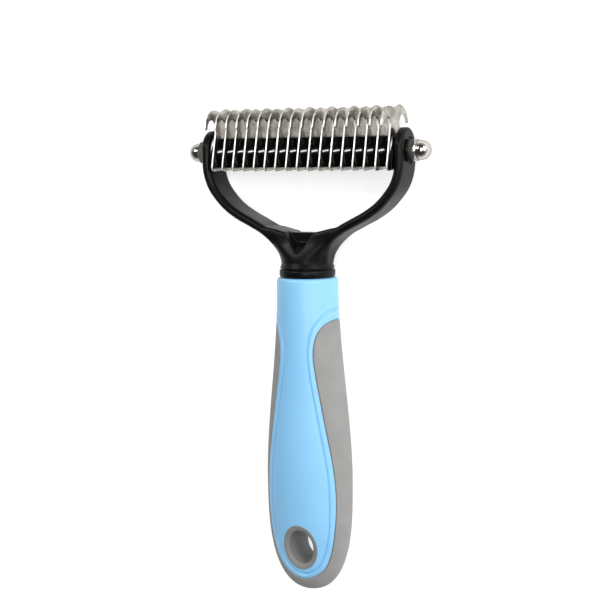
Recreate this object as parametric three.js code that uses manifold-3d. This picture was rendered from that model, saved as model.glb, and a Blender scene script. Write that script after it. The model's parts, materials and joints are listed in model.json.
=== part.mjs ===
// Undercoat rake: hooked steel blades stacked on a rod between the arms of a plastic yoke,
// with a two-colour oval handle. Millimetres.
//
// The tool is modelled about its rod: +X along the rod, +Y along the tool towards the blades,
// +Z towards the front, the side that every blade has a hook on. The last lines lay it on its
// back, with the origin under the middle of the whole object.

import * as THREE from 'three';
import { mergeVertices } from 'three/addons/utils/BufferGeometryUtils.js';
import Module from 'manifold-3d';

const wasm = await Module();
wasm.setup();

// ---------------------------------------------------------------- driving dimensions

const GAP = 0.3; // between pieces that fit round each other
const SIDE_GAP = 0.15; // between pieces stacked face to face along the rod

const BLADE_COUNT = 17;
const BLADE_PITCH = 4.5;
const BLADE_THICK = 0.6;
const PACK_TILT = THREE.MathUtils.degToRad(4); // the pack sits turned a little to the front

// Blade side profile, as half-widths about the blade's middle line.
const HOOK_OUTER = { x: 4.3, y: 8.6, r: 7.6 };
const HOOK_INNER = { x: 6.9, y: 9.3, r: 3.2 };
const HOOK_TIP_Y = 9.15;
const BLADE_SIDE = { x: 4.43, y: 8, slope: 0.276 }; // the side edge widens downwards
const BLADE_BOTTOM = -6.75;
const BLADE_CORNER = 1.6;
const BLADE_CORNER_INSET = 0.2;
const SHOULDER = { x: 1.7, y: 13.4, r: 2.2 }; // top of a blade's plain side
const VALLEY_Y = 15.2;

const SPACER_TOP = 5.35;
const SPACER_BOTTOM = -5.3;
const SPACER_INSET = 0.45; // behind the blades' edges, at the middle of its height
const SPACER_SAG = 1.05; // how much further its top and bottom lie back
const END_SPACER_THICK = 1.2;
const END_SPACER_BOTTOM = -6;
const END_SPACER_INSET = 0.2;
const END_SPACER_SAG = 0.2;

const ROD_R = 2.5;
const ROD_HALF = 46.2;
const NUT_FLATS = 8;
const NUT_START = 41.3;
const NUT_HEX_END = 44.5;
const NUT_TIP = 49.7;
const DOME_R = 3.5;
const DOME_END_ANGLE = 75; // the dome's last ring before its tip
const SEAT_R = 5;

const STRAP_THICK = 3.4;
const STRAP_HALF_DEPTH = 7;
const STRAP_FOOT_HALF_DEPTH = 4.2; // where an arm has run into the neck
const STRAP_NARROWS = { from: -30, to: -41 };
const ARM_TOP = { y: 1, r: 7.2 };
// Middle line of the right-hand arm, from its top down into the neck.
const ARM_LINE = [
  [39.7, 1], [39.7, -4.5], [39.1, -8.7], [37.4, -13], [34.4, -17], [30.8, -20.5],
  [26.1, -23.6], [20.6, -26.4], [15.2, -29.3], [11.2, -32.8], [8.7, -37], [7.7, -42],
];
const WEB_HALF_THICK = 2.5;
const NECK_R = 9.5;
const COLLAR_R = 10.45;
const COLLAR_TOP = -42.9;
const COLLAR_EDGE = 0.3; // size of its small bevels
const YOKE_BOTTOM = -46.3;
const TANG_R = 6.5;
const TANG_END = -82;
// The hub runs from the fork of the arms down to a round neck: sections across it at height y,
// with half-width x, half-depth z and how square they are (2 is an ellipse).
const HUB_SECTIONS = [
  { y: -29.8, x: 16.4, z: 6.8, square: 6 }, { y: -31.5, x: 14.7, z: 6.9, square: 5.5 },
  { y: -33.9, x: 12.3, z: 7.4, square: 4.5 }, { y: -36, x: 10.9, z: 8.3, square: 3.3 },
  { y: -38, x: 10, z: 9.1, square: 2.5 }, { y: -40, x: 9.55, z: 9.45, square: 2.1 },
  { y: -42, x: NECK_R, z: NECK_R, square: 2 },
];
// Fills the corner between the hub's top and the right-hand arm, seen from the front.
const SHOULDER_FILL = [[5.5, -29.7], [12.5, -28], [17, -27.4], [12, -33], [5.5, -33]];
const SHOULDER_HALF_DEPTH = 6.6;
// Recess in the hub's front and back, down to a flat web. Its floor runs out to the neck's
// surface at its lower end, along a ramp given as [front, along].
const RECESS = [[-6.9, -28.6], [0, -38], [6.9, -28.6]];
const RECESS_RAMP = [[2, -33.3], [10.5, -38.4], [10.5, -41], [2, -41]];

const HANDLE_TOP = -46.6;
const HANDLE_END = -165.6;
const HANDLE_TOP_R = 11.5;
const BELLY_HALF_WIDTH = 17.1;
const BELLY_HALF_DEPTH = 11.8;
const SWELL_TOP = -50; // where the handle starts to widen
const WIDEST = -124;
const THICKEST = -110;
const LIP_R = 1.2;
const GRIP_THICK = 2.5;
const CORE_TOP = -58;
const CORE_MIN_R = 0.6;
const FOOT_FLAT = 0.04; // keeps the last ring of the handle open

// Edge between the blue panel and the grey grip, from the side of the handle to its foot.
const PANEL_EDGE = [
  [14, -61.2], [11.6, -62.2], [9.2, -64.6], [7.4, -68.7], [6.8, -74.5], [7.6, -82], [10.5, -99],
  [13.3, -116], [14.1, -129], [13.3, -141], [11.2, -151], [7.4, -157.4], [0, -160.6],
];

const HOLE_Y = -147.8;
const HOLE_HALF = { x: 5.05, y: 6.5 };
const LINER_HALF = { x: 7.05, y: 8.8 };
const LINER_BEVEL = 1.3;
const RIM_Z = 7.6; // height of the bevel's outer edge above the handle's middle plane
const RIM_SLOPE = 0.148; // the handle thins towards its foot, and the rim follows it

const BEYOND = 30; // reaches outside the tool from anywhere in it
const RING = 36; // points round the handle
const ROUND = 24; // points round a small circle
const EDGE_STEPS = 52; // along the panel's edge

// ---------------------------------------------------------------- materials

const steel = () => new THREE.MeshStandardMaterial({ color: 0xc4c3bd, metalness: 0.95, roughness: 0.3 });
const chrome = () => new THREE.MeshStandardMaterial({ color: 0xd6d2cc, metalness: 1, roughness: 0.12 });
const blackGloss = () => new THREE.MeshStandardMaterial({ color: 0x08080a, roughness: 0.15 });
const blackSatin = () => new THREE.MeshStandardMaterial({ color: 0x1c1e20, roughness: 0.42 });
const blueHard = () => new THREE.MeshStandardMaterial({ color: 0x84bdea, roughness: 0.45 });
const greySoft = () => new THREE.MeshStandardMaterial({ color: 0x9b9a97, roughness: 0.8 });

// ---------------------------------------------------------------- solids

function toSolid(geometry) {
  const bare = geometry.index ? geometry.toNonIndexed() : geometry.clone();
  for (const name of Object.keys(bare.attributes)) {
    if (name !== 'position') bare.deleteAttribute(name);
  }
  const merged = mergeVertices(bare, 1e-4);
  return new wasm.Manifold(new wasm.Mesh({
    numProp: 3,
    vertProperties: new Float32Array(merged.attributes.position.array),
    triVerts: new Uint32Array(merged.index.array),
  }));
}

function toGeometry(solid) {
  const mesh = solid.getMesh();
  const geometry = new THREE.BufferGeometry();
  geometry.setAttribute('position', new THREE.BufferAttribute(new Float32Array(mesh.vertProperties), 3));
  geometry.setIndex(new THREE.BufferAttribute(new Uint32Array(mesh.triVerts), 1));
  geometry.computeVertexNormals();
  return geometry;
}

function named(name, geometry, material) {
  const mesh = new THREE.Mesh(geometry, material);
  mesh.name = name;
  return mesh;
}

// Closed skin over a row of rings that all have the same number of points.
function loft(rings) {
  const size = rings[0].length;
  const middle = (ring) => ring.reduce((sum, p) => sum.add(p), new THREE.Vector3()).divideScalar(size);
  const points = [...rings.flat(), middle(rings[0]), middle(rings.at(-1))];
  const faces = [];
  for (let i = 0; i < rings.length - 1; i++) {
    for (let j = 0; j < size; j++) {
      const a = i * size + j;
      const b = i * size + ((j + 1) % size);
      faces.push([a, b, b + size], [a, b + size, a + size]);
    }
  }
  const last = (rings.length - 1) * size;
  for (let j = 0; j < size; j++) {
    const next = (j + 1) % size;
    faces.push([points.length - 2, next, j], [points.length - 1, last + j, last + next]);
  }
  const corners = faces.flat().flatMap((k) => points[k].toArray());
  const geometry = new THREE.BufferGeometry();
  geometry.setAttribute('position', new THREE.Float32BufferAttribute(corners, 3));
  return geometry;
}

// A flat outline given as [x, y], made halfDepth thick each way along Z.
function slab(outline, halfDepth) {
  const shape = new THREE.Shape(outline.map(([x, y]) => new THREE.Vector2(x, y)));
  const geometry = new THREE.ExtrudeGeometry(shape, { depth: 2 * halfDepth, bevelEnabled: false });
  return geometry.translate(0, 0, -halfDepth);
}

// A profile of [front, along] points with a round hole, made into a plate across the rod.
function plate(outline, holeR, thick) {
  const shape = new THREE.Shape(outline.map(([z, y]) => new THREE.Vector2(z, y)));
  const hole = new THREE.Path();
  hole.absarc(0, 0, holeR, 0, 2 * Math.PI, true);
  shape.holes.push(hole);
  const geometry = new THREE.ExtrudeGeometry(shape, { depth: thick, bevelEnabled: false, curveSegments: 6 });
  return geometry.translate(0, 0, -thick / 2).rotateY(-Math.PI / 2);
}

function arc({ x, y, r }, from, to, steps) {
  return Array.from({ length: steps + 1 }, (_, i) => {
    const angle = THREE.MathUtils.degToRad(from + ((to - from) * i) / steps);
    return [x + r * Math.cos(angle), y + r * Math.sin(angle)];
  });
}

const mirrored = (points) => points.map(([x, y]) => [-x, y]).reverse();

// ---------------------------------------------------------------- blade pack

const sideAt = (y) => BLADE_SIDE.x + BLADE_SIDE.slope * (BLADE_SIDE.y - y);

function bottomCorner() {
  const x = sideAt(BLADE_BOTTOM) - BLADE_CORNER - BLADE_CORNER_INSET;
  return arc({ x, y: BLADE_BOTTOM + BLADE_CORNER, r: BLADE_CORNER }, -90, 15, 3);
}

// The hooked half of a blade, from its bottom corner up round the hook to the top.
function hookedHalf() {
  const inner = arc(HOOK_INNER, 175, 12, 7);
  const outer = arc(HOOK_OUTER, 10, 92, 7);
  const tipX = (inner.at(-1)[0] + outer[0][0]) / 2;
  return [...bottomCorner(), ...inner, [tipX, HOOK_TIP_Y], ...outer];
}

// The plain half: the side runs on up to a rounded shoulder.
function plainHalf() {
  return [...bottomCorner(), [BLADE_SIDE.x, BLADE_SIDE.y], ...arc(SHOULDER, 10, 85, 3)];
}

function bladeOutline(hookedBehind) {
  const behind = hookedBehind ? hookedHalf() : plainHalf();
  return [...hookedHalf(), [0, VALLEY_Y], ...mirrored(behind)];
}

// Flat at the top and bottom, bowed outwards at the front and back.
function spacerOutline(bottom, inset, sag) {
  const middle = (SPACER_TOP + bottom) / 2;
  const half = [-1, -0.5, 0, 0.5, 1].map((t) => {
    const y = middle + t * (SPACER_TOP - middle);
    return [sideAt(y) - inset - sag * t * t, y];
  });
  return [...half, ...mirrored(half)];
}

function bladePack() {
  const pack = new THREE.Group();
  const holeR = ROD_R + GAP;
  const place = (i) => (i - (BLADE_COUNT + 1) / 2) * BLADE_PITCH;
  const two = (i) => String(i).padStart(2, '0');
  for (let i = 1; i <= BLADE_COUNT; i++) {
    const blade = named(`blade_${two(i)}`, plate(bladeOutline(i % 2 === 1), holeR, BLADE_THICK), steel());
    blade.position.x = place(i);
    pack.add(blade);
  }
  const spacerThick = BLADE_PITCH - BLADE_THICK - 2 * SIDE_GAP;
  for (let i = 1; i < BLADE_COUNT; i++) {
    const shape = plate(spacerOutline(SPACER_BOTTOM, SPACER_INSET, SPACER_SAG), holeR, spacerThick);
    const spacer = named(`spacer_${two(i)}`, shape, blackGloss());
    spacer.position.x = place(i + 0.5);
    pack.add(spacer);
  }
  const endX = place(BLADE_COUNT) + BLADE_THICK / 2 + SIDE_GAP + END_SPACER_THICK / 2;
  for (const [side, x] of [['left', -endX], ['right', endX]]) {
    const outline = spacerOutline(END_SPACER_BOTTOM, END_SPACER_INSET, END_SPACER_SAG);
    const shape = plate(outline, holeR, END_SPACER_THICK);
    const spacer = named(`end_spacer_${side}`, shape, blackGloss());
    spacer.position.x = x;
    pack.add(spacer);
  }
  pack.rotation.x = PACK_TILT;
  return pack;
}

// ---------------------------------------------------------------- rod and nuts

function rod() {
  const shape = new THREE.CylinderGeometry(ROD_R, ROD_R, 2 * ROD_HALF, ROUND);
  return named('rod', shape.rotateZ(-Math.PI / 2), steel());
}

// Acorn nut for the right-hand end: hexagon, domed end and a blind hole for the rod.
function capNut() {
  const cornerR = NUT_FLATS / Math.sqrt(3);
  const hexLength = NUT_HEX_END - NUT_START;
  const hex = new THREE.CylinderGeometry(cornerR, cornerR, hexLength, 6);
  hex.translate(0, NUT_START + hexLength / 2, 0);
  const domeCentre = { x: 0, y: NUT_TIP - DOME_R, r: DOME_R };
  const inHex = NUT_HEX_END - 1;
  const profile = [[0, inHex], [DOME_R, inHex], ...arc(domeCentre, 0, DOME_END_ANGLE, 6), [0, NUT_TIP]];
  const dome = new THREE.LatheGeometry(profile.map(([r, y]) => new THREE.Vector2(r, y)), ROUND);
  const holeLength = 8;
  const hole = new THREE.CylinderGeometry(ROD_R + GAP, ROD_R + GAP, holeLength, ROUND);
  hole.translate(0, ROD_HALF + GAP - holeLength / 2, 0);
  const nut = toSolid(hex).add(toSolid(dome)).subtract(toSolid(hole));
  return toGeometry(nut).rotateZ(-Math.PI / 2);
}

// ---------------------------------------------------------------- yoke

// Section across an arm: a strap with fully rounded front and back edges.
function strapRing(x, y, across, halfDepth) {
  const half = STRAP_THICK / 2;
  const straight = Math.max(halfDepth - half, 0);
  const round = [-90, -45, 0, 45, 90].map((a) => THREE.MathUtils.degToRad(a));
  const front = round.map((a) => [half * Math.sin(a), straight + Math.min(half, halfDepth) * Math.cos(a)]);
  const ring = [...front.map(([s, z]) => [-s, -z]), ...front].reverse();
  return ring.map(([s, z]) => new THREE.Vector3(x + across.x * s, y + across.y * s, z));
}

function arm() {
  const line = new THREE.CatmullRomCurve3(ARM_LINE.map(([x, y]) => new THREE.Vector3(x, y, 0)));
  const rings = [];
  for (const angle of [84, 65, 45, 25]) {
    const a = THREE.MathUtils.degToRad(angle);
    const y = ARM_TOP.y + ARM_TOP.r * Math.sin(a);
    rings.push(strapRing(ARM_LINE[0][0], y, new THREE.Vector2(1, 0), ARM_TOP.r * Math.cos(a)));
  }
  const steps = 20;
  for (let i = 0; i <= steps; i++) {
    const p = line.getPointAt(i / steps);
    const t = line.getTangentAt(i / steps);
    const narrowed = THREE.MathUtils.smoothstep(-p.y, -STRAP_NARROWS.from, -STRAP_NARROWS.to);
    const halfDepth = THREE.MathUtils.lerp(STRAP_HALF_DEPTH, STRAP_FOOT_HALF_DEPTH, narrowed);
    rings.push(strapRing(p.x, p.y, new THREE.Vector2(-t.y, t.x), halfDepth));
  }
  return toSolid(loft(rings));
}

function hub() {
  const rings = HUB_SECTIONS.map(({ x, y, z, square }) => Array.from({ length: RING }, (_, j) => {
    const a = (-2 * Math.PI * j) / RING;
    const round = (v) => Math.sign(v) * Math.abs(v) ** (2 / square);
    return new THREE.Vector3(x * round(Math.sin(a)), y, z * round(Math.cos(a)));
  }));
  return toSolid(loft(rings));
}

// The turned middle of the yoke: flared neck, collar with a groove under its top edge, and tang.
function neck() {
  const edge = COLLAR_EDGE;
  const profile = [
    [0, COLLAR_TOP + 3], [NECK_R - 0.4, COLLAR_TOP + 3], [NECK_R + 0.2, COLLAR_TOP + 1.2],
    [COLLAR_R - edge, COLLAR_TOP], [COLLAR_R - 0.7, COLLAR_TOP - 0.4], [COLLAR_R, COLLAR_TOP - 0.9],
    [COLLAR_R, YOKE_BOTTOM + edge], [COLLAR_R - edge, YOKE_BOTTOM], [TANG_R, YOKE_BOTTOM],
    [TANG_R, TANG_END + 1], [TANG_R - 1, TANG_END], [0, TANG_END],
  ].map(([r, y]) => new THREE.Vector2(r, y)).reverse();
  return toSolid(new THREE.LatheGeometry(profile, RING));
}

// What the recess takes away in front of the web.
function recessCut() {
  const depth = NECK_R + 3;
  const block = slab(RECESS, depth / 2).translate(0, 0, WEB_HALF_THICK + depth / 2);
  const ramp = slab(RECESS_RAMP, NECK_R).rotateY(-Math.PI / 2);
  return toSolid(block).subtract(toSolid(ramp));
}

function yoke() {
  const right = arm().add(toSolid(slab(SHOULDER_FILL, SHOULDER_HALF_DEPTH)));
  const left = right.mirror([1, 0, 0]);
  const cut = recessCut();
  let body = neck().add(hub()).add(right).add(left);
  body = body.subtract(cut).subtract(cut.mirror([0, 0, 1]));
  const bore = new THREE.CylinderGeometry(ROD_R + GAP, ROD_R + GAP, 4 * BEYOND, ROUND).rotateZ(Math.PI / 2);
  body = body.subtract(toSolid(bore));
  const seatDepth = 4;
  const seat = new THREE.CylinderGeometry(SEAT_R, SEAT_R, seatDepth, ROUND).rotateZ(Math.PI / 2);
  const seatSolid = toSolid(seat.translate(NUT_START - GAP + seatDepth / 2, 0, 0));
  body = body.subtract(seatSolid).subtract(seatSolid.mirror([1, 0, 0]));
  return toGeometry(body);
}

// ---------------------------------------------------------------- handle

const ease = (t) => THREE.MathUtils.smoothstep(t, 0, 1);

// Fraction of full size left towards the handle's rounded foot.
function footTaper(y, start, power, root) {
  const s = THREE.MathUtils.clamp((start - y) / (start - HANDLE_END), 0, 1);
  return (1 - s ** power) ** (1 / root);
}

function halfWidth(y) {
  const swell = ease((SWELL_TOP - y) / (SWELL_TOP - WIDEST));
  const full = HANDLE_TOP_R + (BELLY_HALF_WIDTH - HANDLE_TOP_R) * swell;
  return full * footTaper(y, WIDEST, 3, 2.3);
}

function halfDepth(y) {
  const swell = ease((SWELL_TOP - y) / (SWELL_TOP - THICKEST));
  const full = HANDLE_TOP_R + (BELLY_HALF_DEPTH - HANDLE_TOP_R) * swell;
  return full * footTaper(y, THICKEST, 2, 2.6);
}

function handleRing(y, inset, points) {
  return Array.from({ length: points }, (_, j) => {
    const a = (-2 * Math.PI * j) / points;
    return new THREE.Vector3((halfWidth(y) - inset) * Math.sin(a), y, (halfDepth(y) - inset) * Math.cos(a));
  });
}

// The handle's rounded lip at its top, as rings.
function lipRings(points) {
  return [LIP_R, 0.35 * LIP_R].map((inset, i) => handleRing(HANDLE_TOP - i * 0.35 * LIP_R, inset, points));
}

// The handle's outer skin, or a core inset from it all round.
function handleSolid(inset, steps, points) {
  const isSkin = inset === 0;
  const rings = isSkin ? lipRings(points) : [];
  const start = isSkin ? HANDLE_TOP - LIP_R : CORE_TOP;
  const foot = HANDLE_END + Math.max(inset, FOOT_FLAT);
  const crowding = 1.6; // sets the rings closer together towards the foot
  for (let i = 0; i <= steps; i++) {
    const y = start + (foot - start) * (1 - (1 - i / steps) ** crowding);
    const bound = Math.min(halfWidth(y), halfDepth(y)) - CORE_MIN_R;
    rings.push(handleRing(y, Math.min(inset, bound), points));
  }
  return toSolid(loft(rings));
}

// Front view of the blue panel, with everything above it, grown or shrunk by an offset.
function panelOutline(offset) {
  const points = [...PANEL_EDGE, ...mirrored(PANEL_EDGE).slice(1)];
  const curve = new THREE.SplineCurve(points.map(([x, y]) => new THREE.Vector2(x, y)));
  const edge = Array.from({ length: EDGE_STEPS + 1 }, (_, i) => {
    const p = curve.getPoint(i / EDGE_STEPS);
    const t = curve.getTangent(i / EDGE_STEPS);
    return [p.x - t.y * offset, p.y + t.x * offset];
  });
  const sideY = PANEL_EDGE[0][1] - offset;
  return [[BEYOND, 0], [BEYOND, sideY], ...edge, [-BEYOND, sideY], [-BEYOND, 0]];
}

function oval(half, grow) {
  const shape = new THREE.Shape();
  shape.absellipse(0, HOLE_Y, half.x + grow, half.y + grow, 0, 2 * Math.PI);
  const options = { depth: 2 * BEYOND, bevelEnabled: false, curveSegments: 14 };
  return toSolid(new THREE.ExtrudeGeometry(shape, options).translate(0, 0, -BEYOND));
}

function handleParts() {
  const skin = handleSolid(0, 28, RING);
  const panel = toSolid(slab(panelOutline(-GAP / 2), BEYOND));
  const panelRoom = toSolid(slab(panelOutline(GAP / 2), BEYOND));
  const core = handleSolid(GRIP_THICK + GAP / 2, 14, 20);
  const coreRoom = handleSolid(GRIP_THICK - GAP / 2, 14, 20);
  const holeRoom = oval(LINER_HALF, GAP);
  const socketLength = 50;
  const socket = new THREE.CylinderGeometry(TANG_R + GAP, TANG_R + GAP, socketLength, ROUND);
  const socketRoom = toSolid(socket.translate(0, TANG_END - GAP + socketLength / 2, 0));
  const body = skin.intersect(panel).add(core.intersect(skin)).subtract(holeRoom).subtract(socketRoom);
  const grip = skin.subtract(panelRoom).subtract(coreRoom).subtract(holeRoom);
  const liner = skin.intersect(oval(LINER_HALF, 0)).subtract(toSolid(hangHole()));
  return { body: toGeometry(body), grip: toGeometry(grip), liner: toGeometry(liner) };
}

// The oval hole through the liner, with a bevelled mouth front and back.
function hangHole() {
  const ring = (z, grow) => Array.from({ length: RING }, (_, j) => {
    const a = (2 * Math.PI * j) / RING;
    const x = (HOLE_HALF.x + grow) * Math.cos(a);
    const y = (HOLE_HALF.y + grow) * Math.sin(a);
    return new THREE.Vector3(x, HOLE_Y + y, z + Math.sign(z) * RIM_SLOPE * y);
  });
  const inside = RIM_Z - LINER_BEVEL;
  const outside = RIM_Z + 5;
  return loft([
    ring(-outside, LINER_BEVEL), ring(-RIM_Z, LINER_BEVEL), ring(-inside, 0),
    ring(inside, 0), ring(RIM_Z, LINER_BEVEL), ring(outside, LINER_BEVEL),
  ]);
}

// ---------------------------------------------------------------- assembly

const tool = new THREE.Group();
tool.add(bladePack(), rod());
tool.add(named('cap_nut_right', capNut(), chrome()));
tool.add(named('cap_nut_left', capNut().rotateY(Math.PI), chrome()));
tool.add(named('yoke', yoke(), blackSatin()));
const handle = handleParts();
tool.add(named('handle_body', handle.body, blueHard()));
tool.add(named('grip', handle.grip, greySoft()));
tool.add(named('hang_hole_liner', handle.liner, greySoft()));

// Lie the tool on its back, with the origin under the middle of its box.
tool.updateMatrixWorld(true);
const box = new THREE.Box3().setFromObject(tool, true);
const centre = box.getCenter(new THREE.Vector3());
tool.position.set(-centre.x, -centre.y, -box.min.z);

const group = new THREE.Group();
group.add(tool);
export default group;
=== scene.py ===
"""Undercoat rake: the looks of each piece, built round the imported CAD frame.

Lengths here are millimetres from the middle of the blade rod: x along the rod, y along the tool
towards the blades, z towards the front. to_frame() turns them into the frame's metres.
"""

import json
import math

import bmesh
import bpy
import numpy as np
from mathutils import Matrix, Vector


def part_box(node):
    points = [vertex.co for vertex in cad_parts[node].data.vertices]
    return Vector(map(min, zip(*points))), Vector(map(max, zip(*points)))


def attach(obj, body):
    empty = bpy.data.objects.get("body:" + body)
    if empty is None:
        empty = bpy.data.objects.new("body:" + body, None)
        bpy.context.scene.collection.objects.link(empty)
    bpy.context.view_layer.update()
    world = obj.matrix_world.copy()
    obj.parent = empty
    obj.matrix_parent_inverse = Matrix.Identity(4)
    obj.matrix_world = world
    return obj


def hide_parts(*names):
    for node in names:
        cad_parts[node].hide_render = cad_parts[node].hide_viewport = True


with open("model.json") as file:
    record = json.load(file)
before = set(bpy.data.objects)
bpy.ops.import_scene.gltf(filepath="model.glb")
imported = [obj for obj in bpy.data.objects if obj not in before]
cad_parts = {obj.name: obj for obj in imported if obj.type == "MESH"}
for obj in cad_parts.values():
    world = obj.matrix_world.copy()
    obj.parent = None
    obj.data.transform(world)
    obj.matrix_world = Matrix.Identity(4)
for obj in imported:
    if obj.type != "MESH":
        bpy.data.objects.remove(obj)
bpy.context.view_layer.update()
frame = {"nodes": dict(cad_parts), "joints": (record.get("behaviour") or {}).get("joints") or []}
ROD = Vector(frame["joints"][0]["pos_m"])
MM = 0.001

BLADES = sorted(n for n in frame["nodes"] if n.startswith("blade_"))
SPACERS = sorted(n for n in frame["nodes"] if n.startswith("spacer_"))
END_SPACERS = sorted(n for n in frame["nodes"] if n.startswith("end_spacer_"))

PACK_TILT = math.radians(4)  # the blades sit turned a little towards the front

# Blade side profile, as half-widths about the blade's middle line.
HOOK_OUTER = (4.3, 8.6, 7.55)
HOOK_INNER = (6.9, 9.3, 3.2)
SIDE_X, SIDE_Y, SIDE_SLOPE = 4.43, 8, 0.276
BLADE_BOTTOM = -6.75
CORNER_R, CORNER_INSET = 1.6, 0.2
VALLEY_Y = 15.2
SHOULDER = (1.7, 13.4, 2.2)  # top of a blade's plain side
BLADE_EDGE_R = 0.1

SPACER_TOP, SPACER_BOTTOM = 5.35, -5.3
SPACER_INSET = 0.45
SPACER_SAG = 1.05  # how far the top and bottom of a spacer's face fall back
END_SPACER_BOTTOM = -6
END_SPACER_INSET, END_SPACER_SAG = 0.2, 0.2
SPACER_EDGE_R = 0.12
HOLE_R = 2.75

STRAP_HALF = 1.7
STRAP_HALF_DEPTH = 7
STRAP_FOOT_HALF_DEPTH = 4.2
STRAP_NARROWS = (-30, -41)  # heights between which an arm gets shallower
ARM_TOP_Y, ARM_TOP_R = 1, 7.2
ARM_LINE = [
    (39.7, 1), (39.7, -4.5), (39.1, -8.7), (37.4, -13), (34.4, -17), (30.8, -20.5),
    (26.1, -23.6), (20.6, -26.4), (15.2, -29.3), (11.2, -32.8), (8.7, -37), (7.7, -42),
]
# Sections across the hub: height y, half-width, half-depth and squareness, where 2 is an ellipse.
HUB_SECTIONS = [
    (-29.8, 16.5, 6.9, 6), (-31.5, 14.8, 7, 5.5), (-33.9, 12.4, 7.4, 4.5), (-36, 10.9, 8.3, 3.3),
    (-38, 10, 9.1, 2.5), (-40, 9.55, 9.45, 2.1), (-43.4, 9.5, 9.5, 2),
]
# Fills the corner between the hub's top and an arm, seen from the front.
SHOULDER_FILL = [(5.5, -29.7), (12.5, -28), (17, -27.4), (12, -33), (5.5, -33)]
SHOULDER_HALF_DEPTH = 6.7
# Recess in the hub, down to a flat web, with a ramp given as (front, along) at its lower end.
WEB_HALF, RECESS_REACH = 2.5, 14
RECESS = [(-6.9, -28.6), (0, -38), (6.9, -28.6)]
RECESS_RAMP = [(2, -33.3), (10.5, -38.4), (10.5, -41), (2, -41)]
SOFTENED = (-24, -29)  # the hub is softened fully below the second height
COARSE_VOXEL, FINE_VOXEL = 0.3, 0.25
COLLAR_R = 10.45
COLLAR_TOP, YOKE_BOTTOM = -42.9, -46.3
TANG_R, TANG_END = 6.5, -81
NUT_SEAT, SEAT_R = 41.0, 5

HANDLE_TOP, HANDLE_END = -46.6, -165.6
FOOT = HANDLE_END + 0.06  # the handle's surface stops just short of its end
TOP_R, BELLY_HALF_WIDTH, BELLY_HALF_DEPTH = 11.5, 17.1, 11.8
SWELL_TOP, WIDEST, THICKEST = -50, -124, -110
LIP_R = 1.2

# Edge between the blue panel and the grey grip, and the line of the groove inside it.
PANEL_EDGE = [
    (14, -61.2), (11.6, -62.2), (9.2, -64.6), (7.4, -68.7), (6.8, -74.5), (7.6, -82), (10.5, -99),
    (13.3, -116), (14.1, -129), (13.3, -141), (11.2, -151), (7.4, -157.4), (0, -160.6),
]
GROOVE_LINE = [
    (13.5, -57.6), (11.4, -58.5), (9.4, -60.6), (7.3, -63.6), (5.8, -67.3), (5, -71.5), (4.9, -76),
    (5.8, -84), (8.4, -99), (11.2, -116), (12, -129), (11.2, -142), (9.1, -150.6), (5.6, -156.2),
    (0, -158.7),
]
GROOVE_HALF, GROOVE_DEPTH = 0.6, 0.6
EDGE_ROLL = 0.6  # depth to which the panel and the grip roll in where they meet
GRIP_ROLL_REACH, PANEL_ROLL_REACH = 0.7, 0.5
GRIP_FLOOR, GRIP_INNER = 1.2, 1.3  # depths of the body under the grip, and of the grip's inside
SOCKET_R, SOCKET = 6.8, (-40, -82)
ALONG = 420  # points along the panel's edge on each side
ACROSS = 121  # points across the panel
BAND_STEPS = 40  # points from an edge of the grip to the side of the handle
LIP_ROWS = 8
FINE_STEPS = 3000  # points that a line is measured with before it is spaced evenly

HOLE_Y = -147.8
HOLE_HALF = (5.05, 6.5)
LINER_HALF = (7.05, 8.8)
LINER_PLAY = 0.05
# From the liner's outside over its bevel into the hole: share of its wall and depth under the skin.
LINER_PROFILE = [
    (1.0, 1.5), (1.0, 0.25), (0.97, 0.1), (0.92, 0.02), (0.85, 0.0), (0.75, 0.05), (0.6, 0.18), (0.45, 0.32),
    (0.3, 0.46), (0.18, 0.6), (0.11, 0.7), (0.05, 0.88), (0.01, 1.15), (0.0, 1.5), (0.0, 2.2), (0.0, 3.5),
]

NUT_FLATS, NUT_START, NUT_TIP, HEX_END, DOME_R = 8, 41.3, 49.7, 44.5, 3.5
NUT_BORE = [(NUT_START, 2.85), (46.5, 2.85), (47.0, 2.3)]  # (along the rod, radius)
BEYOND = 60  # reaches outside the tool from anywhere in it

PLATE_SHARP, NUT_SHARP, MOULDED_SHARP, RUBBER_SHARP = 20, 24, 35, 60  # angles shaded as edges


# ---------------------------------------------------------------- mesh helpers


def to_frame(points, tilt=0.0):
    """Points in mm from the rod's middle, turned about the rod, as frame points in metres."""
    p = np.array(points, float).reshape(-1, 3)
    c, s = math.cos(tilt), math.sin(tilt)
    turned = np.stack([p[:, 0], p[:, 1] * c - p[:, 2] * s, p[:, 1] * s + p[:, 2] * c], 1)
    return turned * MM + np.array(ROD)


def finish_mesh(obj, sharp_angle):
    """Welds doubled points, turns the faces outwards and shades smooth up to an angle."""
    bpy.context.view_layer.objects.active = obj
    bm = bmesh.new()
    bm.from_mesh(obj.data)
    bmesh.ops.remove_doubles(bm, verts=bm.verts, dist=0.004 * MM)
    bmesh.ops.recalc_face_normals(bm, faces=bm.faces)
    for face in bm.faces:
        face.smooth = True
    for edge in bm.edges:
        if len(edge.link_faces) == 2 and edge.calc_face_angle(0) > math.radians(sharp_angle):
            edge.smooth = False
    bm.to_mesh(obj.data)
    bm.free()


def add_mesh(name, points, faces, tilt=0.0):
    mesh = bpy.data.meshes.new(name)
    mesh.from_pydata(to_frame(points, tilt).tolist(), [], faces)
    obj = bpy.data.objects.new(name, mesh)
    bpy.context.scene.collection.objects.link(obj)
    return obj


def applied(obj):
    """Bakes the object's modifiers into its mesh."""
    bpy.context.view_layer.update()
    graph = bpy.context.evaluated_depsgraph_get()
    mesh = bpy.data.meshes.new_from_object(obj.evaluated_get(graph))
    obj.modifiers.clear()
    obj.data = mesh
    return obj


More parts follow.
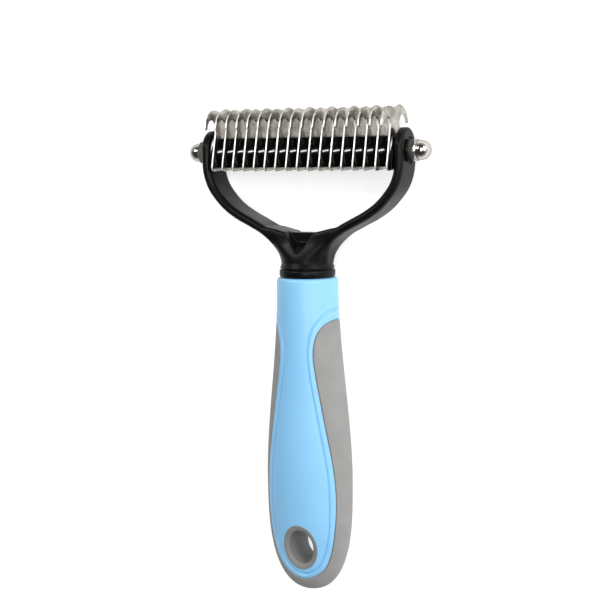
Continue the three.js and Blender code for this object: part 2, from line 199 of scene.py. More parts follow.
def dress(obj, material, body, nodes, sharp_angle=MOULDED_SHARP):
    """The last step for every piece: shading, material, body, finish and the CAD nodes it stands for."""
    finish_mesh(obj, sharp_angle)
    obj.data.materials.clear()
    obj.data.materials.append(material)
    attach(obj, body)
    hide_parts(*nodes)
    return obj


def grid_faces(rows, columns, around=False, wrap=False):
    """Quads over a grid of points. around joins the last column to the first, wrap the last row."""
    faces = []
    for i in range(rows if wrap else rows - 1):
        for j in range(columns if around else columns - 1):
            a, b = i * columns + j, i * columns + (j + 1) % columns
            up = ((i + 1) % rows) * columns
            faces.append((a, b, up + (j + 1) % columns, up + j))
    return faces


def smooth_line(points, count):
    """A Catmull-Rom curve through points, as count points evenly spaced along it.

    A line that ends on the middle line, at x 0, carries on into its mirror image."""
    p = np.array(points, float)
    beyond = p[-2] * (-1, 1) if p[-1][0] == 0 else 2 * p[-1] - p[-2]
    p = np.vstack([2 * p[0] - p[1], p, beyond])
    u = np.linspace(0, 1, 24, endpoint=False)[:, None]
    fine = []
    for a, b, c, d in zip(p, p[1:], p[2:], p[3:]):
        cubic = (2 * a - 5 * b + 4 * c - d) * u**2 + (3 * b - a - 3 * c + d) * u**3
        fine.append(0.5 * (2 * b + (c - a) * u + cubic))
    return evenly(np.vstack([*fine, p[-2][None]]), count)


def evenly(line, count):
    line = np.array(line, float)
    along = np.concatenate([[0], np.cumsum(np.linalg.norm(np.diff(line, axis=0), axis=1))])
    wanted = np.linspace(0, along[-1], count)
    return np.stack([np.interp(wanted, along, line[:, k]) for k in range(line.shape[1])], 1)


def circle_turns(around):
    return [2 * math.pi * k / around for k in range(around)]


def rounds(rings, name):
    """A closed body over a row of rings that all have the same number of points."""
    size = len(rings[0])
    points = [point for ring in rings for point in ring]
    faces = grid_faces(len(rings), size, around=True)
    faces += [tuple(range(size)), tuple(range(len(points) - size, len(points)))]
    return add_mesh(name, points, faces)


def arc(circle, start, end, count):
    x, y, r = circle
    a = np.radians(np.linspace(start, end, count))
    return list(zip(x + r * np.cos(a), y + r * np.sin(a)))


def mirrored(points):
    return [(-x, y) for x, y in points][::-1]


def plate(name, outline, x, thick, edge_r, hole_r=HOLE_R, tilt=PACK_TILT):
    """A plate across the rod with rounded edges: outline of (front, along) points, hole in the middle."""
    curve = bpy.data.curves.new(name, "CURVE")
    curve.dimensions = "2D"
    curve.fill_mode = "BOTH"
    curve.extrude = thick / 2 - edge_r
    curve.bevel_depth = edge_r
    curve.bevel_resolution = 2
    curve.offset = -edge_r
    for ring in (outline, arc((0, 0, hole_r), 0, 352.5, 48)):
        spline = curve.splines.new("POLY")
        spline.points.add(len(ring) - 1)
        for point, (front, along) in zip(spline.points, ring):
            point.co = (front, along, 0, 1)
        spline.use_cyclic_u = True
    maker = bpy.data.objects.new(name + "_curve", curve)
    bpy.context.scene.collection.objects.link(maker)
    bpy.context.view_layer.update()
    graph = bpy.context.evaluated_depsgraph_get()
    mesh = bpy.data.meshes.new_from_object(maker.evaluated_get(graph))
    bpy.data.objects.remove(maker)
    flat = np.array([v.co for v in mesh.vertices]).reshape(-1, 3)
    placed = to_frame(np.stack([x + flat[:, 2], flat[:, 1], flat[:, 0]], 1), tilt)
    mesh.vertices.foreach_set("co", placed.astype(np.float32).ravel())
    mesh.name = name
    obj = bpy.data.objects.new(name, mesh)
    bpy.context.scene.collection.objects.link(obj)
    return obj


# ---------------------------------------------------------------- materials


def new_material(name, color, roughness, metallic=0.0):
    material = bpy.data.materials.new(name)
    material.use_nodes = True
    shader = material.node_tree.nodes["Principled BSDF"]
    shader.inputs["Base Color"].default_value = (*color, 1)
    shader.inputs["Roughness"].default_value = roughness
    shader.inputs["Metallic"].default_value = metallic
    return material, material.node_tree, shader


def noise(tree, scale, detail=3.0, stretch=(1, 1, 1)):
    """Noise in frame coordinates, so its grain keeps a real size in metres."""
    where = tree.nodes.new("ShaderNodeTexCoord")
    mapping = tree.nodes.new("ShaderNodeMapping")
    mapping.inputs["Scale"].default_value = stretch
    texture = tree.nodes.new("ShaderNodeTexNoise")
    texture.inputs["Scale"].default_value = scale
    texture.inputs["Detail"].default_value = detail
    tree.links.new(where.outputs["Object"], mapping.inputs["Vector"])
    tree.links.new(mapping.outputs["Vector"], texture.inputs["Vector"])
    return texture.outputs["Fac"]


def ranged(tree, value, low, high, start=0.3, end=0.7):
    node = tree.nodes.new("ShaderNodeMapRange")
    node.inputs["From Min"].default_value = start
    node.inputs["From Max"].default_value = end
    node.inputs["To Min"].default_value = low
    node.inputs["To Max"].default_value = high
    tree.links.new(value, node.inputs["Value"])
    return node.outputs["Result"]


def two_colors(tree, value, low, high, start=0.35, end=0.65):
    ramp = tree.nodes.new("ShaderNodeValToRGB")
    ramp.color_ramp.elements[0].position = start
    ramp.color_ramp.elements[1].position = end
    ramp.color_ramp.elements[0].color = (*low, 1)
    ramp.color_ramp.elements[1].color = (*high, 1)
    tree.links.new(value, ramp.inputs["Fac"])
    return ramp.outputs["Color"]


def add_bump(tree, shader, height, distance_mm, strength=1.0):
    bump = tree.nodes.new("ShaderNodeBump")
    bump.inputs["Strength"].default_value = strength
    bump.inputs["Distance"].default_value = distance_mm * MM
    tree.links.new(height, bump.inputs["Height"])
    tree.links.new(bump.outputs["Normal"], shader.inputs["Normal"])


def blade_steel():
    material, tree, shader = new_material("blade_steel", (0.55, 0.53, 0.49), 0.25, 1.0)
    shader.inputs["Specular Tint"].default_value = (0.6, 0.6, 0.6, 1)
    brushed = noise(tree, 900, 4, stretch=(1, 1, 7))
    cloud = noise(tree, 220, 2)
    tree.links.new(ranged(tree, brushed, 0.14, 0.3), shader.inputs["Roughness"])
    tree.links.new(
        two_colors(tree, cloud, (0.3, 0.285, 0.25), (0.58, 0.56, 0.52)), shader.inputs["Base Color"]
    )
    add_bump(tree, shader, cloud, 0.08)
    return material


def edge_steel():
    """The blades' rims: finer and whiter than their faces. The whiter, half-metal steel is a painted
    highlight.
    """
    material, tree, shader = new_material("edge_steel", (0.82, 0.81, 0.79), 0.4, 0.5)
    tree.links.new(ranged(tree, noise(tree, 1500, 3), 0.32, 0.48), shader.inputs["Roughness"])
    return material


def rod_steel():
    material, tree, shader = new_material("rod_steel", (0.5, 0.49, 0.47), 0.35, 1.0)
    tree.links.new(ranged(tree, noise(tree, 700, 3), 0.25, 0.45), shader.inputs["Roughness"])
    return material


def nut_chrome():
    material, tree, shader = new_material("nut_chrome", (0.6, 0.57, 0.53), 0.15, 1.0)
    shader.inputs["Specular Tint"].default_value = (0.35, 0.35, 0.35, 1)
    fine = noise(tree, 1200, 3)
    tree.links.new(ranged(tree, fine, 0.08, 0.24), shader.inputs["Roughness"])
    add_bump(tree, shader, noise(tree, 420, 3), 0.02)
    return material


def spacer_plastic():
    material, tree, shader = new_material("spacer_plastic", (0.001, 0.001, 0.0012), 0.1)
    shader.inputs["Specular IOR Level"].default_value = 0.22
    tree.links.new(ranged(tree, noise(tree, 1200, 3), 0.06, 0.13), shader.inputs["Roughness"])
    return material


def yoke_plastic():
    material, tree, shader = new_material("yoke_plastic", (0.0025, 0.003, 0.0032), 0.38)
    shader.inputs["Specular IOR Level"].default_value = 0.14
    grain = noise(tree, 2600, 2)
    tree.links.new(ranged(tree, noise(tree, 120, 3), 0.32, 0.44), shader.inputs["Roughness"])
    add_bump(tree, shader, grain, 0.008)
    return material


def handle_plastic():
    material, tree, shader = new_material("handle_plastic", (0.25, 0.555, 0.85), 0.42)
    cloud = noise(tree, 60, 2)
    tree.links.new(
        two_colors(tree, cloud, (0.24, 0.54, 0.835), (0.26, 0.57, 0.865)), shader.inputs["Base Color"]
    )
    tree.links.new(ranged(tree, noise(tree, 900, 3), 0.36, 0.46), shader.inputs["Roughness"])
    add_bump(tree, shader, noise(tree, 3200, 2), 0.01)
    return material


def warm_grey(shade):
    return shade, shade * 0.985, shade * 0.955


def soft_rubber(name, shade):
    """Matte grey overmould, from the mean shade of its surface."""
    material, tree, shader = new_material(name, warm_grey(shade), 0.7)
    mottled = two_colors(tree, noise(tree, 140, 4), warm_grey(shade * 0.95), warm_grey(shade * 1.05))
    tree.links.new(mottled, shader.inputs["Base Color"])
    tree.links.new(ranged(tree, noise(tree, 700, 3), 0.62, 0.8), shader.inputs["Roughness"])
    add_bump(tree, shader, noise(tree, 2200, 3), 0.025)
    return material


# ---------------------------------------------------------------- blades, spacers and nuts


def side_at(y):
    return SIDE_X + SIDE_SLOPE * (SIDE_Y - y)


def bottom_corner():
    x = side_at(BLADE_BOTTOM) - CORNER_R - CORNER_INSET
    return arc((x, BLADE_BOTTOM + CORNER_R, CORNER_R), -90, 15, 8)


def hooked_half():
    """Half of a blade's outline, from its bottom corner up round the hook to the top."""
    inner = arc(HOOK_INNER, 175, 10, 26)
    outer = arc(HOOK_OUTER, 9, 94, 26)
    tip_r = (outer[0][0] - inner[-1][0]) / 2
    tip = arc((inner[-1][0] + tip_r, (inner[-1][1] + outer[0][1]) / 2, tip_r), 190, 350, 8)
    return bottom_corner() + inner + tip[1:-1] + outer


def plain_half():
    """Half of a blade without a hook: the side runs on up to a rounded shoulder."""
    return bottom_corner() + [(SIDE_X, SIDE_Y)] + arc(SHOULDER, 10, 85, 10)


def make_blades(material, rim):
    """One steel plate a blade. Edges that face the front or the back get the whiter rim steel as a painted
    highlight.
    """
    for index, name in enumerate(BLADES):
        low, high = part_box(name)
        behind = hooked_half() if index % 2 == 0 else plain_half()
        outline = hooked_half() + [(0, VALLEY_Y)] + mirrored(behind)
        x = ((low + high) / 2 - ROD).x / MM
        thick = (high - low).x / MM
        piece = plate(name + "_steel", outline, x, thick, BLADE_EDGE_R)
        dress(piece, material, "blade_pack", [name], PLATE_SHARP)
        piece.data.materials.append(rim)
        for face in piece.data.polygons:
            # rims facing the front or the back take the whiter steel: a painted highlight
            takes_painted_highlight = abs(face.normal.x) < 0.9 and abs(face.normal.z) > 0.7
            face.material_index = int(takes_painted_highlight)


def spacer_outline(bottom, inset, sag):
    """Straight top and bottom, with the front and back bowed outwards in an arc."""
    middle = (SPACER_TOP + bottom) / 2
    half = (SPACER_TOP - bottom) / 2
    side = [
        (side_at(y) - inset - sag * ((y - middle) / half) ** 2, y)
        for y in np.linspace(bottom, SPACER_TOP, 17)
    ]
    return side + mirrored(side)


def make_spacers(material):
    for name in SPACERS + END_SPACERS:
        low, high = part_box(name)
        outline = spacer_outline(SPACER_BOTTOM, SPACER_INSET, SPACER_SAG)
        if name in END_SPACERS:
            outline = spacer_outline(END_SPACER_BOTTOM, END_SPACER_INSET, END_SPACER_SAG)
        x = ((low + high) / 2 - ROD).x / MM
        piece = plate(name + "_moulding", outline, x, (high - low).x / MM, SPACER_EDGE_R)
        dress(piece, material, "blade_pack", [name], PLATE_SHARP)


def nut_radius(angle, x):
    """Radius of the nut at an angle round the rod: a hexagon with chamfered corners."""
    sector = (angle + math.pi / 6) % (math.pi / 3) - math.pi / 6
    flat = NUT_FLATS / 2 / math.cos(sector)
    chamfer = NUT_FLATS / 2 + 0.12 + 1.6 * min(x - NUT_START, HEX_END - x)
    return min(flat, chamfer)


def make_nut(name, side, body, material):
    """Acorn nut: chamfered hexagon, short waist and dome, with a blind hole for the rod."""
    turns = circle_turns(96)
    chamfer_rows = np.linspace(NUT_START, NUT_START + 0.35, 5)
    flat_rows = [NUT_START + 0.6, HEX_END - 0.9]
    end_rows = np.linspace(HEX_END - 0.45, HEX_END, 6)
    hexagon = np.concatenate([chamfer_rows, flat_rows, end_rows])
    rows = [[(x, nut_radius(a, x)) for a in turns] for x in hexagon]
    waist = HEX_END + 0.25
    dome_start = NUT_TIP - DOME_R
    profile = [(HEX_END, DOME_R + 0.1), (waist, DOME_R - 0.12), (waist + 0.3, DOME_R)]
    for t in np.linspace(0.05, 1.53, 22):
        profile.append((dome_start + DOME_R * math.sin(t), DOME_R * math.cos(t)))
    rows += [[(x, r)] * len(turns) for x, r in profile]
    bore = [[(x, r)] * len(turns) for x, r in NUT_BORE]
    rings = []
    for row in bore[::-1] + rows:
        rings.append([(side * x, r * math.cos(a), r * math.sin(a)) for (x, r), a in zip(row, turns)])
    piece = rounds(rings, name + "_acorn")
    return dress(piece, material, body, [name], NUT_SHARP)


# ---------------------------------------------------------------- yoke


def strap_ring(x, y, across, half_depth):
    """Section across an arm: a strap with fully rounded front and back edges."""
    straight = max(half_depth - STRAP_HALF, 0)
    a = np.radians(np.linspace(-90, 90, 9))
    front = [(STRAP_HALF * math.sin(t), straight + min(STRAP_HALF, half_depth) * math.cos(t)) for t in a]
    ring = front + [(-s, -z) for s, z in front]
    return [(x + across[0] * s, y + across[1] * s, z) for s, z in ring]


def arm(side):
    """An arm as a strap along its middle line, closed over the rod by a round top."""
    line = smooth_line(ARM_LINE, 90)
    rings = []
    for angle in (88, 80, 70, 60, 50, 40, 30, 20, 10):
        a = math.radians(angle)
        y = ARM_TOP_Y + ARM_TOP_R * math.sin(a)
        rings.append(strap_ring(ARM_LINE[0][0], y, (1, 0), ARM_TOP_R * math.cos(a)))
    heading = np.gradient(line, axis=0)
    heading /= np.linalg.norm(heading, axis=1)[:, None]
    start, end = STRAP_NARROWS
    for (x, y), (dx, dy) in zip(line, heading):
        narrowed = ease((start - y) / (start - end))
        half_depth = STRAP_HALF_DEPTH + (STRAP_FOOT_HALF_DEPTH - STRAP_HALF_DEPTH) * narrowed
        rings.append(strap_ring(x, y, (-dy, dx), half_depth))
    return rounds([[(side * x, y, z) for x, y, z in ring] for ring in rings], "arm")


def lathe(name, profile):
    """A closed turned piece about the tool's long axis, from (radius, y) points."""
    turns = circle_turns(96)
    return rounds([[(r * math.sin(a), y, r * math.cos(a)) for a in turns] for r, y in profile], name)


def slab(name, outline, z_low, z_high):
    """A front-view outline given thickness from z_low to z_high."""
    return rounds([[(x, y, z) for x, y in outline] for z in (z_low, z_high)], name)


def drum(name, x_low, x_high, r):
    """A cylinder along the rod."""
    turns = circle_turns(64)
    return rounds([[(x, r * math.cos(a), r * math.sin(a)) for a in turns] for x in (x_low, x_high)], name)


def combine(obj, other, operation):
    """Joins other to obj, or cuts it out of obj, and takes other away."""
    finish_mesh(obj, MOULDED_SHARP)
    finish_mesh(other, MOULDED_SHARP)
    tool = obj.modifiers.new("combine", "BOOLEAN")
    tool.operation = operation
    tool.object = other
    tool.solver = "EXACT"
    applied(obj)
    bpy.data.objects.remove(other)
    return obj


def ramp(side):
    """A wedge across the recess, so that its floor runs out to the neck's surface."""
    return rounds([[(x, y, side * z) for z, y in RECESS_RAMP] for x in (-10, 10)], "ramp")


def hub():
    """The hub as a stack of rounded sections, from the fork of the arms down into the neck."""
    table = np.array(HUB_SECTIONS, float)
    rings = []
    for y in np.linspace(table[0, 0], table[-1, 0], 30):
        half_x, half_z, square = (np.interp(-y, -table[:, 0], table[:, k]) for k in (1, 2, 3))
        ring = []
        for a in circle_turns(120):
            bow = [math.copysign(abs(v) ** (2 / square), v) for v in (math.sin(a), math.cos(a))]
            ring.append((half_x * bow[0], y, half_z * bow[1]))
        rings.append(ring)
    return rounds(rings, "yoke_moulding")


def remelt(body, voxel):
    """Adds a remesh that melts the body's parts into one skin."""
    voxels = body.modifiers.new("voxels", "REMESH")
    voxels.mode = "VOXEL"
    voxels.voxel_size = voxel * MM


def soften(body, iterations, group=""):
    """Adds a smoothing of the whole body, or of one vertex group."""
    smooth = body.modifiers.new("soften", "SMOOTH")
    smooth.factor = 0.5
    smooth.iterations = iterations
    smooth.vertex_group = group


def soften_hub(body):
    """Melts the body and rounds it: a little everywhere, and broadly where the arms meet."""
    remelt(body, COARSE_VOXEL)
    applied(body)
    group = body.vertex_groups.new(name="hub")
    start, end = SOFTENED
    for vertex in body.data.vertices:
        y = (vertex.co.y - ROD.y) / MM
        group.add([vertex.index], float(ease((start - y) / (start - end))), "REPLACE")
    soften(body, 36, group.name)
    soften(body, 4)
    applied(body)
    body.vertex_groups.clear()


def cut_recesses(body):
    for side in (1, -1):
        cut = slab("recess", RECESS, *sorted((side * WEB_HALF, side * RECESS_REACH)))
        combine(cut, ramp(side), "DIFFERENCE")
        combine(body, cut, "DIFFERENCE")
    remelt(body, FINE_VOXEL)
    soften(body, 3)
    applied(body)


def collar():
    """The turned collar with a groove under its top edge, and the tang below it."""
    profile = [
        (6, -40.5), (9.1, -40.5), (9.6, -41.3), (9.9, -42.2), (10.2, COLLAR_TOP), (10.15, -43.1),
        (9.7, -43.3), (9.7, -43.45), (10.2, -43.65), (10.4, -43.9), (COLLAR_R, -44.3),
        (COLLAR_R, YOKE_BOTTOM + 0.6), (COLLAR_R - 0.15, YOKE_BOTTOM + 0.2), (COLLAR_R - 0.5, YOKE_BOTTOM),
        (TANG_R, YOKE_BOTTOM), (TANG_R, TANG_END + 1), (TANG_R - 0.5, TANG_END),
    ]
    return lathe("collar", profile)


def make_yoke(material):
    """Arms, hub and neck melted into one moulding, then the recesses, bores and a turned collar."""
    body = hub()
    for side in (1, -1):
        fill = [(side * x, y) for x, y in SHOULDER_FILL]
        combine(body, slab("fill", fill, -SHOULDER_HALF_DEPTH, SHOULDER_HALF_DEPTH), "UNION")
        combine(body, arm(side), "UNION")
    soften_hub(body)
    cut_recesses(body)
    combine(body, drum("bore", -BEYOND, BEYOND, HOLE_R), "DIFFERENCE")
    for side in (1, -1):
        combine(body, drum("seat", side * NUT_SEAT, side * BEYOND, SEAT_R), "DIFFERENCE")
    combine(body, collar(), "UNION")
    return dress(body, material, "frame", ["yoke"])


# ---------------------------------------------------------------- handle


def ease(t):
    t = np.clip(t, 0, 1)
    return t * t * (3 - 2 * t)


def foot_taper(y, start, power, root):
    s = np.clip((start - y) / (start - HANDLE_END), 0, 1)
    return (1 - s**power) ** (1 / root)


def half_width(y):
    swell = ease((SWELL_TOP - y) / (SWELL_TOP - WIDEST))
    return (TOP_R + (BELLY_HALF_WIDTH - TOP_R) * swell) * foot_taper(y, WIDEST, 3, 2.3)


def half_depth(y):
    swell = ease((SWELL_TOP - y) / (SWELL_TOP - THICKEST))
    return (TOP_R + (BELLY_HALF_DEPTH - TOP_R) * swell) * foot_taper(y, THICKEST, 2, 2.6)


def skin(x, y, sink=0.0, side=1.0):
    """Points of the handle's surface over front-view places x, y, sunk along the surface normal."""
    x, y, sink = np.broadcast_arrays(np.asarray(x, float), np.asarray(y, float), np.asarray(sink, float))
    y = np.maximum(y, FOOT)
    step = 1e-3
    a, b = half_width(y), half_depth(y)
    da = (half_width(np.maximum(y - step, HANDLE_END)) - a) / -step
    db = (half_depth(np.maximum(y - step, HANDLE_END)) - b) / -step
    z = b * np.sqrt(np.clip(1 - (x / a) ** 2, 0, 1))
    normal = np.stack([x / a**2, -(x**2) * da / a**3 - z**2 * db / b**3, z / b**2], -1)
    normal /= np.linalg.norm(normal, axis=-1)[..., None]
    point = np.stack([x, y, z], -1) - normal * sink[..., None]
    point[..., 2] *= side
    return point


def on_handle(line, count):
    """The part of a front-view line that lies on the handle, from its side silhouette on."""
    fine = smooth_line(line, FINE_STEPS // 2)
    inside = fine[:, 0] < half_width(fine[:, 1])
    first = int(np.argmax(inside))
    fine = fine[first:]
    fine[0, 0] = half_width(fine[0, 1])
    return evenly(fine, count)


def silhouette(y_start, count):
    """The handle's outline from a height down to the middle of its foot."""
    t = np.linspace(0, 1, FINE_STEPS)
    y = FOOT + (y_start - FOOT) * (1 - t) ** 2.2
    x = half_width(y)
    x[-1] = 0
    return evenly(np.stack([x, y], 1), count)


def edge_to_side(sink_at):
    """Rings over the grip's band, from the panel's front edge round the side to its back edge.

    sink_at gives each point's depth under the skin, from its distance to the nearer edge in mm."""
    edge = on_handle(PANEL_EDGE, ALONG)
    side = silhouette(edge[0, 1], ALONG)
    even = np.sin(np.linspace(0, math.pi / 2, BAND_STEPS))
    near = np.array([0, 0.02, 0.05, 0.1, 0.2, 0.35, 0.5, 0.7, 0.9])
    wanted = np.linspace(0, 1, BAND_STEPS)
    rings = []
    for p, q in zip(edge, side):
        reach = max(np.linalg.norm(q - p), 1e-6)
        start = np.minimum(near / reach, 1)
        share = np.unique(np.concatenate([start, even[even > start[-1]], [1.0]]).round(9))
        share = np.interp(wanted, np.linspace(0, 1, len(share)), share)
        place = p + (q - p) * share[:, None]
        sink = sink_at(share * reach)
        front = skin(place[:, 0], place[:, 1], sink, 1)
        back = skin(place[:, 0], place[:, 1], sink, -1)
        rings.append(np.vstack([front, back[::-1][1:]]))
    return np.array(rings)


def rolled_in(distance, reach):
    """Depth of an edge that rolls in over a reach from its border."""
    return EDGE_ROLL * (1 - ease(distance / reach)) ** 2


def right_and_left(rings):
    """The right half's rings followed by their mirror images, as one run from side to side."""
    left = rings[::-1][1:] * np.array([-1, 1, 1])
    return np.concatenate([rings, left])


def make_grip(material):
    """The grey band: an outer skin rolled in at its edges, closed by an inner skin."""
    outer = right_and_left(edge_to_side(lambda d: rolled_in(d, GRIP_ROLL_REACH)))
    inner = right_and_left(edge_to_side(lambda d: np.full_like(d, GRIP_INNER)))
    piece = rounds(np.concatenate([outer, inner[:, ::-1]], axis=1), "grip_band")
    return dress(piece, material, "frame", ["grip"], RUBBER_SHARP)


def groove_and_outward():
    """The groove's middle line, and at each point the direction in the front view towards the grip."""
    groove = on_handle(GROOVE_LINE, ALONG)
    heading = np.gradient(groove, axis=0)
    heading /= np.linalg.norm(heading, axis=1)[:, None]
    outward = np.stack([-heading[:, 1], heading[:, 0]], 1)
    outward *= np.sign(outward[:, :1] + 1e-9)
    outward[-1] = (0, -1)
    return groove, outward


def line_inside(line):
    """A front-view line held within the handle's silhouette."""
    return np.stack([np.minimum(line[:, 0], half_width(line[:, 1])), line[:, 1]], 1)


def row_across(theta, y, side):
    """Points across the handle at one height, at angles from its middle."""
    return skin(half_width(y) * np.sin(theta), np.full_like(theta, y), 0.0, side)


def panel_sheet(inner_line, side):
    """Front or back of the handle, from its lip down between the two halves of the groove."""
    spread = np.linspace(-1, 1, ACROSS)
    lip = HANDLE_TOP - LIP_R * (1 - np.cos(np.linspace(0, math.pi / 2, LIP_ROWS)))
    plain = np.linspace(HANDLE_TOP - LIP_R, inner_line[0, 1], 40)[1:-1]
    rows = []
    for k, y in enumerate(lip):
        drop = LIP_R * (1 - math.sin(math.pi / 2 * k / (LIP_ROWS - 1)))
        narrowed = np.array([1 - drop / TOP_R, 1, 1 - drop / TOP_R])
        rows.append(row_across(spread * math.pi / 2, y, side) * narrowed)
    for y in plain:
        rows.append(row_across(spread * math.pi / 2, y, side))
    for x, y in line_inside(inner_line):
        rows.append(row_across(spread * math.asin(min(x / half_width(y), 1)), y, side))
    return np.array(rows)


def border_sheet(edge, groove, outward, side):
    """The groove, then the strip outside it up to the rolled edge beside the grip."""
    columns = []
    for share in (-1, -0.8, -0.6, -0.4, -0.2, 0, 0.2, 0.4, 0.6, 0.8, 1):
        line = line_inside(groove + outward * (share * GROOVE_HALF))
        depth = GROOVE_DEPTH * (1 - share**2) ** 2
        columns.append(skin(line[:, 0], line[:, 1], depth, side))
    start = groove + outward * GROOVE_HALF
    width = np.linalg.norm(edge - start, axis=1)
    for share in (0.15, 0.3, 0.5, 0.65, 0.8, 0.87, 0.92, 0.96, 0.985, 1.0):
        line = line_inside(start + (edge - start) * share)
        sink = rolled_in((1 - share) * width, PANEL_ROLL_REACH)
        columns.append(skin(line[:, 0], line[:, 1], sink, side))
    return np.array(columns).transpose(1, 0, 2)


def shell(name, sheets):
    """One mesh from grids of points, each with a flag that turns its faces over."""
    points, faces, offset = [], [], 0
    for grid, flip in sheets:
        rows, columns = grid.shape[:2]
        quads = np.array(grid_faces(rows, columns)) + offset
        points.append(grid.reshape(-1, 3))
        faces.extend(map(tuple, (quads[:, ::-1] if flip else quads).tolist()))
        offset += rows * columns
    return add_mesh(name, np.vstack(points), faces)


def weld_and_fill(obj):
    """Welds the sheets to each other and closes the openings left at the ends."""
    bm = bmesh.new()
    bm.from_mesh(obj.data)
    bmesh.ops.remove_doubles(bm, verts=bm.verts, dist=0.01 * MM)
    bmesh.ops.holes_fill(bm, edges=[e for e in bm.edges if e.is_boundary], sides=0)
    bm.to_mesh(obj.data)
    bm.free()


def make_handle(material):
    """The blue body: panel, groove and border on both faces, and the floor under the grip."""
    edge = on_handle(PANEL_EDGE, ALONG)
    groove, outward = groove_and_outward()
    inner_line = groove - outward * GROOVE_HALF
    sheets = []
    for side in (1, -1):
        sheets.append((panel_sheet(inner_line, side), side < 0))
        for mirror in (1, -1):
            border = border_sheet(edge, groove, outward, side) * np.array([mirror, 1, 1])
            sheets.append((border, (side < 0) != (mirror < 0)))
    deeper = GRIP_FLOOR - EDGE_ROLL
    floor = edge_to_side(lambda d: EDGE_ROLL + deeper * ease(d / 0.4))
    for mirror in (1, -1):
        sheets.append((floor * np.array([mirror, 1, 1]), mirror < 0))
    piece = shell("handle_shell", sheets)
    weld_and_fill(piece)
    half_x, half_y = (half - LINER_PLAY for half in LINER_HALF)
    oval = [(half_x * math.cos(a), HOLE_Y + half_y * math.sin(a)) for a in circle_turns(96)]
    combine(piece, slab("hole", oval, -BEYOND, BEYOND), "DIFFERENCE")
    combine(piece, lathe("socket", [(SOCKET_R, y) for y in SOCKET]), "DIFFERENCE")
    return dress(piece, material, "frame", ["handle_body"])


def make_liner(material):
    """Oval tube through the handle whose rim follows the handle's surface."""
    around = 120
    turns = np.linspace(0, 2 * math.pi, around, endpoint=False)

    def ring(share, sink, side):
        """share runs from 0 at the hole's wall to 1 at the liner's outside."""
        half_x, half_y = (a + (b - a) * share for a, b in zip(HOLE_HALF, LINER_HALF))
        x, y = half_x * np.cos(turns), HOLE_Y + half_y * np.sin(turns)
        top = skin(x, y)[:, 2] - sink
        return np.stack([x, y, side * top], 1)

    rings = [ring(share, sink, 1) for share, sink in LINER_PROFILE]
    rings += [ring(share, sink, -1) for share, sink in LINER_PROFILE[::-1]]
    faces = grid_faces(len(rings), around, around=True, wrap=True)
    piece = add_mesh("hang_hole_rim", np.array(rings).reshape(-1, 3), faces)
    return dress(piece, material, "frame", ["hang_hole_liner"], RUBBER_SHARP)


# ---------------------------------------------------------------- stage, lights and camera

VIEW_TURN = math.radians(27.27)  # the camera's place round the tool, from square on towards +X
VIEW_RISE = math.radians(5.96)
VIEW_ROLL = math.radians(-0.69)
VIEW_DISTANCE = 527.9
AIM_Y = -55.26
LENS = 84.73
SENSOR = 36
SHIFT = -0.0131  # keeps the tool left of the middle


def view_axes():
    """Forward, right and up of the camera in the frame's axes."""
    sa, ca = math.sin(VIEW_TURN), math.cos(VIEW_TURN)
    se, ce = math.sin(VIEW_RISE), math.cos(VIEW_RISE)
    forward = Vector((-sa * ce, -se, -ca * ce))
    right = Vector((ca, 0, -sa))
    up = right.cross(forward)
    turn = Matrix.Rotation(-VIEW_ROLL, 3, forward)
    return forward, turn @ right, turn @ up


def make_camera():
    data = bpy.data.cameras.new("camera")
    data.sensor_width = SENSOR
    data.lens = LENS
    data.shift_x = SHIFT
    data.clip_start = 0.01
    camera = bpy.data.objects.new("camera", data)
    bpy.context.scene.collection.objects.link(camera)
    forward, right, up = view_axes()
    place = Vector(to_frame([(0, AIM_Y, 0)])[0]) - forward * VIEW_DISTANCE * MM
    turned = Matrix((right, up, -forward)).transposed()
    camera.matrix_world = Matrix.Translation(place) @ turned.to_4x4()
    bpy.context.scene.camera = camera


def area_light(name, place, aim, size, power):
    """A rectangular light at a place in metres, facing an aim point, with its first side along X."""
    data = bpy.data.lights.new(name, "AREA")
    data.shape = "RECTANGLE"
    data.size, data.size_y = size
    data.energy = power
    light = bpy.data.objects.new(name, data)
    bpy.context.scene.collection.objects.link(light)
    back = (Vector(place) - Vector(aim)).normalized()
    upright = back.cross(Vector((1, 0, 0))).normalized()
    turned = Matrix((upright.cross(back), upright, back)).transposed()
    light.matrix_world = Matrix.Translation(Vector(place)) @ turned.to_4x4()


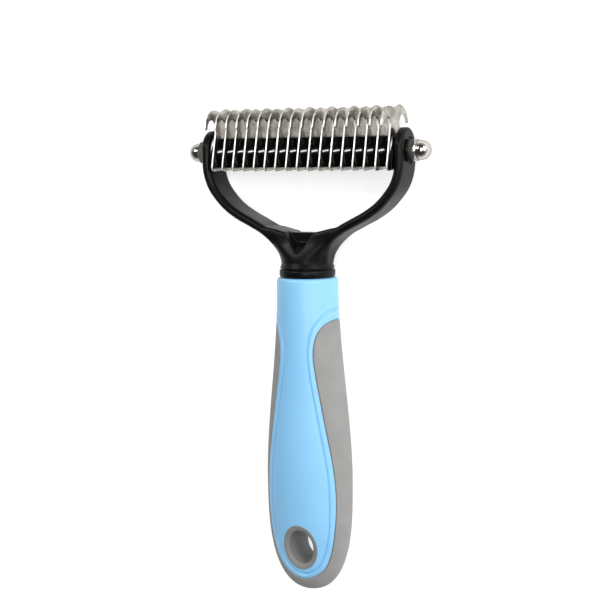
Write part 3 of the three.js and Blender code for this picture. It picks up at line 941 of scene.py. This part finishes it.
def make_stage():
    material, tree, shader = new_material("pale_floor", (0.55, 0.55, 0.55), 0.95)
    shader.inputs["Specular IOR Level"].default_value = 0
    shader.inputs["Emission Color"].default_value = (1, 1, 1, 1)
    shader.inputs["Emission Strength"].default_value = 0.66
    mesh = bpy.data.meshes.new("floor")
    reach = 3.0
    corners = [(-reach, -reach, 0), (reach, -reach, 0), (reach, reach, 0), (-reach, reach, 0)]
    mesh.from_pydata(corners, [], [(0, 1, 2, 3)])
    mesh.materials.append(material)
    floor = bpy.data.objects.new("floor", mesh)
    bpy.context.scene.collection.objects.link(floor)
    make_world()
    middle = (0, 0, 0.012)
    area_light("key_right", (0.95, 0.4, 0.62), middle, (0.7, 0.9), 11.3)
    area_light("top_soft", (0.35, 0.15, 1.0), middle, (0.3, 0.5), 4.5)
    area_light("front_lamp", (-0.37, 0.4, 0.64), (0, 0.075, 0.012), (0.3, 0.04), 2.4)
    bpy.context.scene.view_settings.view_transform = "Standard"


def make_world():
    """A dim room: light walls down to the floor and a dark ceiling."""
    world = bpy.data.worlds.new("studio")
    bpy.context.scene.world = world
    world.use_nodes = True
    tree = world.node_tree
    direction = tree.nodes.new("ShaderNodeTexCoord")
    parts = tree.nodes.new("ShaderNodeSeparateXYZ")
    tree.links.new(direction.outputs["Generated"], parts.inputs["Vector"])
    strength = ranged(tree, parts.outputs["Z"], 0.55, 0.05, 0.15, 0.5)
    tree.links.new(strength, tree.nodes["Background"].inputs["Strength"])
    tree.nodes["Background"].inputs["Color"].default_value = (1, 1, 1, 1)


make_camera()
make_stage()
chrome = nut_chrome()
make_blades(blade_steel(), edge_steel())
make_spacers(spacer_plastic())
make_nut("cap_nut_right", 1, "nut_right", chrome)
make_nut("cap_nut_left", -1, "nut_left", chrome)
make_yoke(yoke_plastic())
make_handle(handle_plastic())
make_grip(soft_rubber("grip_rubber", 0.27))
# the liner's grey is darker than the grip's, partly its own colour and partly painted shade for the inside
# of the hang hole
make_liner(soft_rubber("liner_rubber_with_painted_shade", 0.22))
rod = frame["nodes"]["rod"]
rod.data.materials.clear()
rod.data.materials.append(rod_steel())
